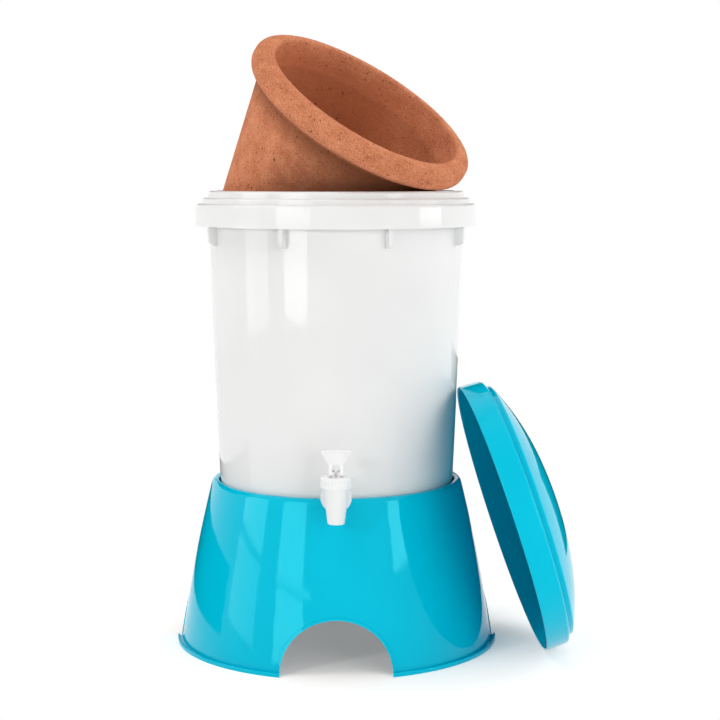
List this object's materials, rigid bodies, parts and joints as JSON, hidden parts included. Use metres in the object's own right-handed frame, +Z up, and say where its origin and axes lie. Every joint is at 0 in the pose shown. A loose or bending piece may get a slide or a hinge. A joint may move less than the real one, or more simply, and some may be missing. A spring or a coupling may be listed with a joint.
{
  "type": "gravity water filter",
  "caption": "Gravity water filter: white bucket with a lever tap in a round stand, stepped ring on top, terracotta filter pot leaning in its mouth, domed lid standing beside it.",
  "frame": {"origin": "on the floor, on the stand's vertical axis", "axes": "+Z up, -Y towards the tap and the front arch, +X towards the lid"},
  "size_m": [0.4647, 0.406, 0.7152],
  "materials": {
    "turquoise_plastic": "glossy moulded polypropylene",
    "white_plastic": "glossy moulded polypropylene",
    "tap_plastic": "satin moulded plastic",
    "terracotta": "unglazed fired clay, matt and slightly gritty",
    "silicone": "soft, slightly translucent",
    "spring_steel": "drawn wire"
  },
  "bodies": {
    "stand": {"stand": "turquoise_plastic", "stand_tray": "turquoise_plastic"},
    "bucket": {"bucket": "white_plastic", "bucket_flange": "white_plastic", "support_ring": "white_plastic", "tap_body": "tap_plastic", "tap_bonnet": "tap_plastic", "tap_outer_gasket": "silicone", "tap_inner_gasket": "silicone", "tap_lock_nut": "tap_plastic"},
    "pot": {"filter_pot": "terracotta"},
    "lid": {"lid": "turquoise_plastic"},
    "stem": {"tap_stem": "tap_plastic", "tap_spring": "spring_steel", "tap_seat_cup": "silicone"},
    "lever": {"tap_lever": "tap_plastic", "tap_lever_pin": "spring_steel"}
  },
  "joints": [
    {"name": "bucket_lift", "type": "slide", "parent": "stand", "child": "bucket", "axis": [0, 0, 1], "range_m": [0, 0.12]},
    {"name": "pot_lift", "type": "slide", "parent": "bucket", "child": "pot", "axis": [0, 0, 1], "range_m": [0, 0.2]},
    {"name": "lid_away", "type": "slide", "parent": "stand", "child": "lid", "axis": [0.9516, 0.0549, 0.3024], "range_m": [0, 0.15]},
    {"name": "stem_lift", "type": "slide", "parent": "bucket", "child": "stem", "axis": [0, 0, 1], "range_m": [0, 0.0027], "stiffness_N_per_m": 100, "springref_m": -0.005, "deforming": ["tap_spring", "tap_seat_cup"]},
    {"name": "lever_tilt", "type": "hinge", "parent": "stem", "child": "lever", "pos_m": [0, -0.17497, 0.23], "axis": [1, 0, 0], "range_deg": [-2, 52]}
  ],
  "couplings": [
    {"joint": "lever_tilt", "follows": "stem_lift", "rad_per_m": 323.2}
  ]
}
